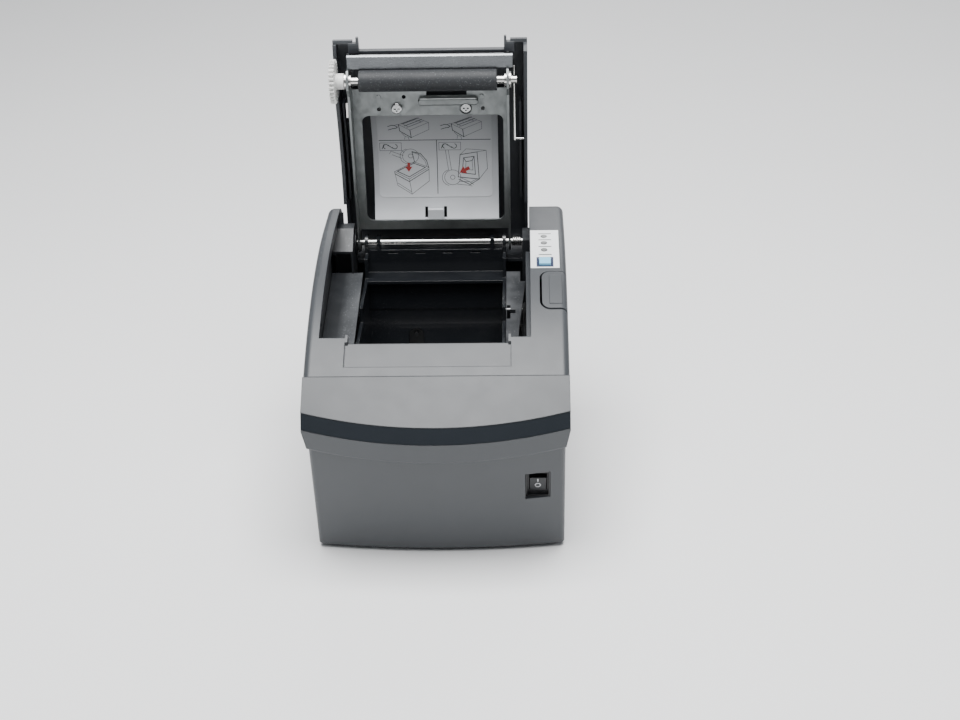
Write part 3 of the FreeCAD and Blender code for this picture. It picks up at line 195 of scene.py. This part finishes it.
def lid_plastic(name, colour, inner):
    """The lid is casing plastic outside; its inner faces are painted darker, as painted shade for the
    shadowed inside of the lid.
    """
    look = Look(name, colour, 0.42)
    cloud = look.ramp(look.noise(28.0, 4.0), 0.3, 0.7)
    outside = look.mix(cloud, shade(colour, 0.97), shade(colour, 1.03))
    shaded_inside = look.mix(cloud, shade(inner, 0.85), shade(inner, 1.15))
    place = look.parts_of(look.coords)
    facing = look.parts_of(look.node("ShaderNodeTexCoord").outputs["Normal"])
    # Painted shade: the lid's inner faces, picked by their facing and place, take the darker colour.
    share = look.times(look.between(facing["Y"], -1.1, 0.35), look.between(place["X"], *LID_INSIDE_X))
    share = look.times(share, look.between(place["Z"], 0.0, LID_INSIDE_TOP))
    look.paint(look.mix(share, outside, shaded_inside))
    look.roughness(look.ramp(look.noise(90.0, 4.0), 0.3, 0.7, 0.40, 0.44))
    look.soft_edges(0.0005)
    look.bump(look.noise(2600.0, 2.0, 0.7), 0.00002)
    return look.mat


def metal(name, colour, rough, brushed=(1, 1, 1), scale=700.0, edge=0.0002):
    """Bare or plated metal with fine lines along one direction and small stains."""
    look = Look(name, colour, rough, 1.0)
    stain = look.ramp(look.noise(45.0, 5.0), 0.35, 0.75)
    look.paint(look.mix(stain, colour, shade(colour, 0.78)))
    lines = look.noise(scale, 3.0, 0.6, brushed)
    look.roughness(look.ramp(lines, 0.3, 0.7, rough * 0.75, min(1.0, rough * 1.3)))
    look.soft_edges(edge)
    look.bump(lines, 0.000006)
    return look.mat


def rubber(name, colour, rough, speck):
    look = Look(name, colour, rough)
    dots = look.ramp(look.noise(1500.0, 2.0), 0.62, 0.72)
    cloud = look.ramp(look.noise(120.0, 4.0), 0.3, 0.7)
    base = look.mix(cloud, shade(colour, 0.85), shade(colour, 1.15))
    look.paint(look.mix(look.times(dots, speck), base, (0.22, 0.23, 0.24)))
    look.roughness(look.ramp(cloud, 0.0, 1.0, rough * 0.92, min(1.0, rough * 1.08)))
    look.soft_edges(0.0004)
    look.bump(look.noise(2200.0, 2.0), 0.00003)
    return look.mat


def film(name, colour, rough, coat=0.3):
    """Printed plastic film, slightly uneven in gloss."""
    look = Look(name, colour, rough)
    cloud = look.ramp(look.noise(55.0, 4.0), 0.3, 0.7)
    look.paint(look.mix(cloud, shade(colour, 0.97), shade(colour, 1.03)))
    look.roughness(look.ramp(cloud, 0.0, 1.0, rough * 0.9, rough * 1.1))
    look.bsdf.inputs["Coat Weight"].default_value = coat
    look.bump(look.noise(400.0, 2.0), 0.00001)
    return look.mat


def silvered(name, colour, rough, platen_shade=0.3):
    """Silver-grey satin sheet, bright near the hinge and painted darker towards the platen: painted
    shade standing in for the dark reflection on the curved panel.
    """
    look = Look(name, colour, rough, 0.15)
    cloud = look.ramp(look.noise(40.0, 4.0), 0.3, 0.7)
    bright = look.mix(cloud, shade(colour, 0.96), shade(colour, 1.04))
    # Painted shade: the colour darkens with height above the hinge.
    rise = look.ramp(look.parts_of(look.coords)["Z"], 0.142, 0.212)
    look.paint(look.mix(rise, bright, shade(colour, platen_shade)))
    look.roughness(look.ramp(look.noise(160.0, 3.0), 0.3, 0.7, rough * 0.9, rough * 1.15))
    look.soft_edges(0.0003)
    look.bump(look.noise(900.0, 2.0), 0.000006)
    return look.mat


CASE = (0.050, 0.0545, 0.060)
BLACK = (0.0075, 0.0085, 0.010)
LOOKS = {
    "casing": moulded("casing", CASE, 0.42),
    # The lid's darker inner colour is painted shade.
    "lid": lid_plastic("lid", CASE, (0.030, 0.033, 0.039)),
    # Painted shade: the front band's near-black colour stands in for the shade and dark reflection on a
    # band that faces slightly down.
    "band": moulded("band", (0.010, 0.0135, 0.018), 0.34, grain=1500.0, depth=0.000006),
    "bin": moulded("bin", (0.010, 0.0115, 0.014), 0.2, grain=900.0, depth=0.000003, dust=0.05, coat=0.5),
    "ledge": ledge_plastic("ledge", (0.014, 0.016, 0.019), (0.20, 0.21, 0.22)),
    "ledge_right": moulded("ledge_right", (0.014, 0.016, 0.019), 0.45, dust=0.3),
    "black": moulded("black", BLACK, 0.4, dust=0.15),
    "sheet": metal("sheet", (0.25, 0.265, 0.265), 0.42, (1, 12, 1), 300.0),
    "bar": metal("bar", (0.20, 0.21, 0.22), 0.3, (1, 12, 12), 300.0, edge=0.0005),
    "screw": metal("screw", (0.45, 0.46, 0.46), 0.22),
    "steel": metal("steel", (0.74, 0.73, 0.71), 0.16, (12, 1, 1), 500.0),
    "wire": metal("wire", (0.80, 0.79, 0.77), 0.2),
    "alloy": metal("alloy", (0.66, 0.67, 0.68), 0.25, (20, 1, 1), 200.0),
    "ceramic": film("ceramic", (0.05, 0.04, 0.035), 0.15, 0.5),
    "platen": rubber("platen", (0.015, 0.017, 0.020), 0.62, 0.5),
    "foot": rubber("foot", (0.014, 0.014, 0.015), 0.7, 0.1),
    "white": moulded("white", (0.78, 0.78, 0.76), 0.4, edge=0.0002),
    # Panel and label: their darkening towards the platen is painted shade.
    "panel": silvered("panel", (0.74, 0.76, 0.79), 0.36),
    "label": silvered("label", (0.84, 0.86, 0.89), 0.34),
    "strip_label": film("strip_label", (0.80, 0.82, 0.83), 0.35),
    "blue": film("blue", (0.22, 0.56, 0.78), 0.3, 0.4),
    "navy": film("navy", (0.012, 0.022, 0.06), 0.4),
    "led": film("led", (0.035, 0.042, 0.04), 0.12, 0.8),
    "board": film("board", (0.02, 0.12, 0.05), 0.3, 0.6),
    "ink": film("ink", (0.015, 0.016, 0.018), 0.5, 0.0),
    "grey_ink": film("grey_ink", (0.09, 0.095, 0.10), 0.5, 0.0),
    "white_ink": film("white_ink", (0.62, 0.63, 0.64), 0.5, 0.0),
    "red_ink": film("red_ink", (0.42, 0.035, 0.03), 0.45, 0.0),
}

NODE_LOOKS = {
    "casing": ["upper_case", "lower_case", "front_cover", "bottom_cover", "open_button"],
    "lid": ["cover_shell"],
    "band": ["front_band"],
    "bin": ["paper_bin"],
    "ledge": ["left_side_frame"],
    "ledge_right": ["right_side_frame"],
    "black": ["switch_housing", "power_rocker", "cutter_frame", "paper_sensor", "power_inlet",
              "drawer_port", "network_port", "data_port"],
    "sheet": ["cover_frame", "grip_tab", "head_bracket", "rear_panel"],
    "bar": ["fixed_blade"],
    "screw": ["cover_screws"],
    "steel": ["hinge_rod", "platen_shaft", "cutter_blade", "pinion_gear", "feed_motor",
              "platen_bearings", "idler_pin", "case_screws"],
    "wire": ["hinge_spring", "head_springs", "latch_wire", "latch_hook"],
    "alloy": ["head_heatsink"],
    "ceramic": ["head_element"],
    "platen": ["platen_rubber"],
    "foot": ["rubber_feet"],
    "white": ["platen_gear", "idler_gear"],
    "panel": ["inner_panel"],
    "label": ["instruction_label"],
    "strip_label": ["control_label"],
    "blue": ["feed_button"],
    "led": ["status_leds"],
    "board": ["panel_board", "main_board"],
}
for look_name, nodes in NODE_LOOKS.items():
    for node in nodes:
        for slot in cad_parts[node].material_slots:
            slot.material = LOOKS[look_name]


# ---------------------------------------------------------------- printed marks
HINGE = (79.45, 124.4)
CARD_NEAR, CARD_FAR, CARD_RISE = 13.5, 87.0, 9.0
CARD_R = ((CARD_FAR - CARD_NEAR) ** 2 / 4 + CARD_RISE ** 2) / (2 * CARD_RISE)
PRINT = 0.04                   # thickness of a printed mark, mm


def on_card(x, s, lift):
    """Point over the hollowed label: x across, s up from the hinge, lift towards the viewer."""
    middle = (CARD_NEAR + CARD_FAR) / 2
    deep = 0.8 + CARD_RISE - CARD_R + math.sqrt(CARD_R ** 2 - (s - middle) ** 2)
    return Vector((x, HINGE[0] + deep - 0.27 - lift, HINGE[1] + s)) * MM


def on_strip(x, y, lift):
    """Point over the control strip on the curved top."""
    radius, crest, top = 225.0, 51.45, 146.0
    z = top - radius + math.sqrt(radius ** 2 - max(0.0, crest - y) ** 2)
    return Vector((x, y, z + 0.03 + lift)) * MM


def loop(points):
    """The points as a closed line."""
    return points + points[:1]


def ring(x, y, radius, start=0, stop=360, steps=20, flat=1.0):
    """Points round a circle or an arc of it, from start to stop in degrees."""
    return [(x + radius * math.cos(math.radians(start + (stop - start) * i / steps)),
             y + flat * radius * math.sin(math.radians(start + (stop - start) * i / steps)))
            for i in range(steps + 1)]


def shifted(lines, x, y, size=1.0):
    """Lines scaled about their origin and moved to x, y."""
    return [[(x + size * a, y + size * b) for a, b in line] for line in lines]


def strokes(name, lines, width, place, look, body):
    """Thin raised print that follows a surface, one short bar for each piece of each line."""
    bm = bmesh.new()
    for line in lines:
        for (ax, ay), (bx, by) in zip(line, line[1:]):
            length = math.hypot(bx - ax, by - ay)
            if length < 1e-6:
                continue
            tx, ty = (bx - ax) / length, (by - ay) / length
            ax, ay = ax - tx * width / 2, ay - ty * width / 2
            length += width
            count = max(1, math.ceil(length / 2.0))
            rows = []
            for i in range(count + 1):
                cx, cy = ax + tx * length * i / count, ay + ty * length * i / count
                side = [(cx - ty * width / 2 * k, cy + tx * width / 2 * k) for k in (-1, 1)]
                rows.append([bm.verts.new(place(*point, lift)) for lift in (0, PRINT) for point in side])
            for a, b in zip(rows, rows[1:]):
                for i, j in ((0, 1), (1, 3), (3, 2), (2, 0)):
                    bm.faces.new((a[i], a[j], b[j], b[i]))
            bm.faces.new([rows[0][i] for i in (0, 2, 3, 1)])
            bm.faces.new([rows[-1][i] for i in (0, 1, 3, 2)])
    return piece(name, bm, look, body)


def piece(name, bm, look, body):
    """Turns a bmesh into a named piece with its look, riding on a body."""
    bmesh.ops.recalc_face_normals(bm, faces=bm.faces)
    mesh = bpy.data.meshes.new(name)
    bm.to_mesh(mesh)
    bm.free()
    made = bpy.data.objects.new(name, mesh)
    bpy.context.collection.objects.link(made)
    mesh.materials.append(LOOKS[look])
    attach(made, body)
    return made


def slab(name, points, place, lift, look, body):
    """Flat printed patch with the given outline."""
    bm = bmesh.new()
    rows = [[bm.verts.new(place(x, y, level)) for x, y in points] for level in (lift, lift + PRINT)]
    count = len(points)
    for i in range(count):
        j = (i + 1) % count
        bm.faces.new((rows[0][i], rows[0][j], rows[1][j], rows[1][i]))
    bm.faces.new(rows[1])
    bm.faces.new(rows[0][::-1])
    return piece(name, bm, look, body)


# Line drawings for the card, in mm about their own origins.
BOX = [
    loop([(0, 0), (10.5, 4.2), (17, 1.2), (6.3, -3.6)]),
    [(0, 0), (0.6, -4.2), (6.8, -8.4), (6.3, -3.6)],
    [(6.8, -8.4), (17, -3.4), (17, 1.2)],
    [(1.6, 0.4), (11.4, 4.3)],
    [(3.4, -0.9), (13.2, 3.2)],
    [(4.6, -1.9), (14.6, 2.4)],
    loop([(2.4, 0.3), (9.6, 3.1), (13.0, 1.6), (5.6, -1.6)]),
]
HAND = [
    [(-6, -1.2), (-4, -0.4), (-2.2, -0.6), (-0.6, -1.6), (-1.6, -2.4), (-3.4, -2.6), (-5.8, -3.4)],
    [(-2.2, -0.6), (-1.0, 0.2), (0.2, -0.4)],
    [(1.5, -5.4), (3.4, -7.6), (3.0, -9.4)],
    [(3.4, -7.6), (5.2, -8.2), (5.6, -10.2)],
]
OPEN_BOX = [
    loop([(-9, 0), (2, 5.4), (10, 2.2), (-1, -4.2)]),
    [(-9, 0), (-7.4, -7.6), (0.4, -12.4), (-1, -4.2)],
    [(0.4, -12.4), (10, -5.4), (10, 2.2)],
    [(-7.4, 0.2), (1.8, 4.6), (8, 2.2), (-0.9, -3.0), (-7.4, 0.2)],
    [(2.2, 5.4), (1.0, 11.4), (5.6, 10.2), (8.8, 6.2), (9.8, 2.4)],
    [(1.6, 10.8), (4.9, 9.6), (7.9, 6.0), (8.9, 2.6)],
    [(-8.8, -1.2), (-1.0, -5.6), (9.8, 1.0)],
    [(-7.2, -6.4), (0.2, -11.2)],
]
STOOD_BOX = [
    loop([(-8, -8), (-6.6, 5.6), (3.4, 7.2), (4.4, -9.4)]),
    [(-6.6, 5.6), (-3.0, 9.2), (8.8, 8.2), (3.4, 7.2)],
    [(8.8, 8.2), (9.4, -3.2), (4.4, -9.4)],
    loop([(-5.6, -5.6), (-4.6, 3.6), (1.6, 4.4), (2.2, -6.6)]),
    [(-4.6, 3.6), (-3.2, 1.2), (0.4, 1.8), (1.6, 4.4)],
    [(-3.2, 1.2), (-3.6, -3.4), (0.8, -4.0), (0.4, 1.8)],
    [(-7.6, -9.4), (-1.0, -12.6), (4.4, -9.4)],
    [(-6.2, -8.6), (-0.6, -11.2), (3.2, -9.2)],
]
ARROW = [(-0.8, 3.0), (0.9, 3.0), (0.9, 0.6), (2.2, 0.6), (0, -2.6), (-2.2, 0.6), (-0.8, 0.6)]


def turned(points, angle):
    """Points turned about their origin by an angle in degrees."""
    cos, sin = math.cos(math.radians(angle)), math.sin(math.radians(angle))
    return [(x * cos - y * sin, x * sin + y * cos) for x, y in points]


CLOSED_BOXES = ((-27.0, 74.0), (5.0, 74.2))
OPEN_BOX_AT = (-20.8, 42.8)
STOOD_BOX_AT = (16.6, 47.4)
PAPER_ROLLS = ((-20.6, 52.7), (4.9, 38.9))
STEP_FRAMES_X = (-39.2, -3.0)
FINE_LINE, HEAVY_LINE = 0.28, 0.42


def print_instruction_card():
    """Four generic line drawings that show how a roll goes in, with two red arrows."""
    fine, heavy = [], []
    for x, y in CLOSED_BOXES:
        fine += shifted(BOX, x, y, 1.08) + shifted(HAND, x, y, 1.08)
        heavy += shifted(BOX[3:5] + HAND[:1] + BOX[1:2], x, y, 1.08)
    fine += shifted(OPEN_BOX, *OPEN_BOX_AT, 1.12) + shifted(STOOD_BOX, *STOOD_BOX_AT, 1.04)
    heavy += shifted([OPEN_BOX[3], OPEN_BOX[4], OPEN_BOX[6]], *OPEN_BOX_AT, 1.12)
    heavy += shifted([STOOD_BOX[0], STOOD_BOX[3], STOOD_BOX[4], STOOD_BOX[6]], *STOOD_BOX_AT, 1.04)
    for x, y in PAPER_ROLLS:
        fine += [ring(x, y, 5.0, flat=0.92), ring(x, y, 1.4, flat=0.92),
                 ring(x - 1.6, y - 0.2, 4.8, 100, 260)]
    fine += [[(-25.2, 53.1), (-32.5, 56.0), (-33.5, 54.2)], [(-31.8, 53.6), (-26.0, 51.2)],
             [(8.9, 36.4), (15.2, 36.0), (17.6, 34.4)], [(7.8, 34.6), (14.2, 34.0), (16.8, 33.4)]]
    for x in STEP_FRAMES_X:
        fine.append(loop([(x, 61.5), (x + 13.2, 61.5), (x + 13.2, 56.4), (x, 56.4)]))
        heavy += [ring(x + 3.8, 59.0, 1.5, 20, 250), ring(x + 9.2, 59.0, 1.5, 200, 430),
                  [(x + 5.2, 60.0), (x + 7.6, 58.0)], [(x + 1.4, 57.6), (x + 2.6, 60.4)]]
    fine += [[(-26.0, 56.4), (-24.4, 54.8)], [(0.8, 56.4), (2.4, 43.4)], [(2.6, 56.4), (4.2, 43.6)]]
    heavy += [[(-39.4, 63.2), (28.4, 63.2)], [(-4.4, 63.2), (-4.4, 29.3)]]
    strokes("card_fine_lines", fine, FINE_LINE, on_card, "grey_ink", "lid")
    strokes("card_heavy_lines", heavy, HEAVY_LINE, on_card, "ink", "lid")
    down = [(x - 22.0, y + 45.2) for x, y in ARROW]
    across = [(x * 1.2 + 12.0, y * 1.2 + 43.2) for x, y in turned(ARROW, -62)]
    slab("card_red_arrow_down", down, on_card, 0.0, "red_ink", "lid")
    slab("card_red_arrow_in", across, on_card, 0.0, "red_ink", "lid")


CAPTION_Y = (38.4, 30.6, 22.6, 13.8)
LAMP_X = 60.0
LAMP_Y = (35.0, 26.9, 18.9)
KEY_SURROUND_X = (56.1, 64.5)
KEY_SURROUND_Y = (2.4, 10.5)


def print_control_strip():
    """A row of plain bars over each lamp and the key, and a dark surround for the key."""
    captions = [[(57.2 + 1.5 * i, y), (57.9 + 1.5 * i, y)] for y in CAPTION_Y for i in range(5)]
    strokes("strip_captions", captions, 0.8, on_strip, "grey_ink", "printer_body")
    (left, right), (near, far) = KEY_SURROUND_X, KEY_SURROUND_Y
    surround = loop([(left, near), (right, near), (right, far), (left, far)])
    strokes("strip_key_surround", [surround], 1.3, on_strip, "navy", "printer_body")
    for i, y in enumerate(LAMP_Y):
        strokes(f"strip_lamp_ring_{i + 1}", [ring(LAMP_X, y, 1.75)], 0.3, on_strip, "ink",
                "printer_body")


ROCKER_PIVOT = (-77.673, 48.800)
ROCKER_FACE = 5.4              # distance from the pivot to the rocker's face
ROCKER_DISH = 0.022            # its ends stand a little proud of its middle
ROCKER_LEAN = math.atan(15.5 / 71.0) + math.radians(8.0)


def on_rocker(x, height, lift):
    """Point over the rocker's face, which leans back with the front of the case."""
    y, z = -ROCKER_FACE - ROCKER_DISH * abs(height) - lift, height
    return Vector((x, ROCKER_PIVOT[0] + y * math.cos(ROCKER_LEAN) - z * math.sin(ROCKER_LEAN),
                   ROCKER_PIVOT[1] + y * math.sin(ROCKER_LEAN) + z * math.cos(ROCKER_LEAN))) * MM


def mark_rocker():
    """The I and O marks."""
    x = 54.9
    for name, line, width in (("rocker_on_mark", [(x, 2.4), (x, 4.2)], 0.55),
                              ("rocker_off_mark", ring(x, -1.0, 1.4), 0.5)):
        strokes(name, [line], width, on_rocker, "white_ink", "power_rocker")


print_instruction_card()
print_control_strip()
mark_rocker()


# ---------------------------------------------------------------- floor, light and camera
def make_floor():
    """Pale floor that curves up into a backdrop."""
    mesh = bpy.data.meshes.new("floor")
    size = 6.0
    rise = 2.5
    depth = 3.0
    bm = bmesh.new()
    steps = 24
    profile = [(-size, 0.0), (depth - 0.8, 0.0)]
    profile += [(depth - 0.8 + 0.8 * math.sin(math.pi / 2 * i / steps),
                 0.8 - 0.8 * math.cos(math.pi / 2 * i / steps)) for i in range(1, steps + 1)]
    profile.append((depth, rise))
    rows = [[bm.verts.new((x, y, z)) for y, z in profile] for x in (-size, size)]
    for i in range(len(profile) - 1):
        bm.faces.new((rows[0][i], rows[1][i], rows[1][i + 1], rows[0][i + 1]))
    bm.to_mesh(mesh)
    bm.free()
    floor = bpy.data.objects.new("floor", mesh)
    for polygon in mesh.polygons:
        polygon.use_smooth = True
    bpy.context.collection.objects.link(floor)
    look = Look("floor", (0.90, 0.90, 0.90), 0.6)
    look.paint(look.mix(look.noise(3.0), (0.88, 0.885, 0.89), (0.92, 0.925, 0.93)))
    mesh.materials.append(look.mat)


def area_light(name, place, target, size, power, colour=(1, 1, 1)):
    data = bpy.data.lights.new(name, "AREA")
    data.shape = "RECTANGLE"
    data.size, data.size_y = size
    data.energy = power
    data.color = colour
    lamp = bpy.data.objects.new(name, data)
    lamp.location = place
    aim = Vector(target) - Vector(place)
    lamp.rotation_euler = aim.to_track_quat("-Z", "Y").to_euler()
    bpy.context.collection.objects.link(lamp)


def make_lights():
    world = bpy.data.worlds.new("studio")
    world.use_nodes = True
    world.node_tree.nodes["Background"].inputs["Color"].default_value = (0.93, 0.96, 1.0, 1)
    world.node_tree.nodes["Background"].inputs["Strength"].default_value = 0.24
    bpy.context.scene.world = world
    area_light("overhead", (0.0, -0.15, 1.3), (0, 0, 0.1), (1.0, 0.8), 38)
    area_light("front_high", (-0.25, -1.0, 1.3), (0, 0, 0.1), (1.2, 0.4), 5)
    area_light("behind", (0.3, 1.6, 1.1), (0, 0, 0.15), (1.6, 0.8), 12)


def make_camera():
    data = bpy.data.cameras.new("camera")
    data.sensor_width = 36.0
    data.lens = 59.03
    data.clip_start = 0.05
    camera = bpy.data.objects.new("camera", data)
    right = Vector((0.99959795, 0.02074836, -0.01932483))
    up = Vector((0.00782285, 0.45329154, 0.89132799))
    back = right.cross(up)
    turn = Matrix((right, up, back)).transposed().to_4x4()
    camera.matrix_world = Matrix.Translation((0.04719, -0.82602, 0.50161)) @ turn
    bpy.context.collection.objects.link(camera)
    bpy.context.scene.camera = camera


make_floor()
make_lights()
make_camera()
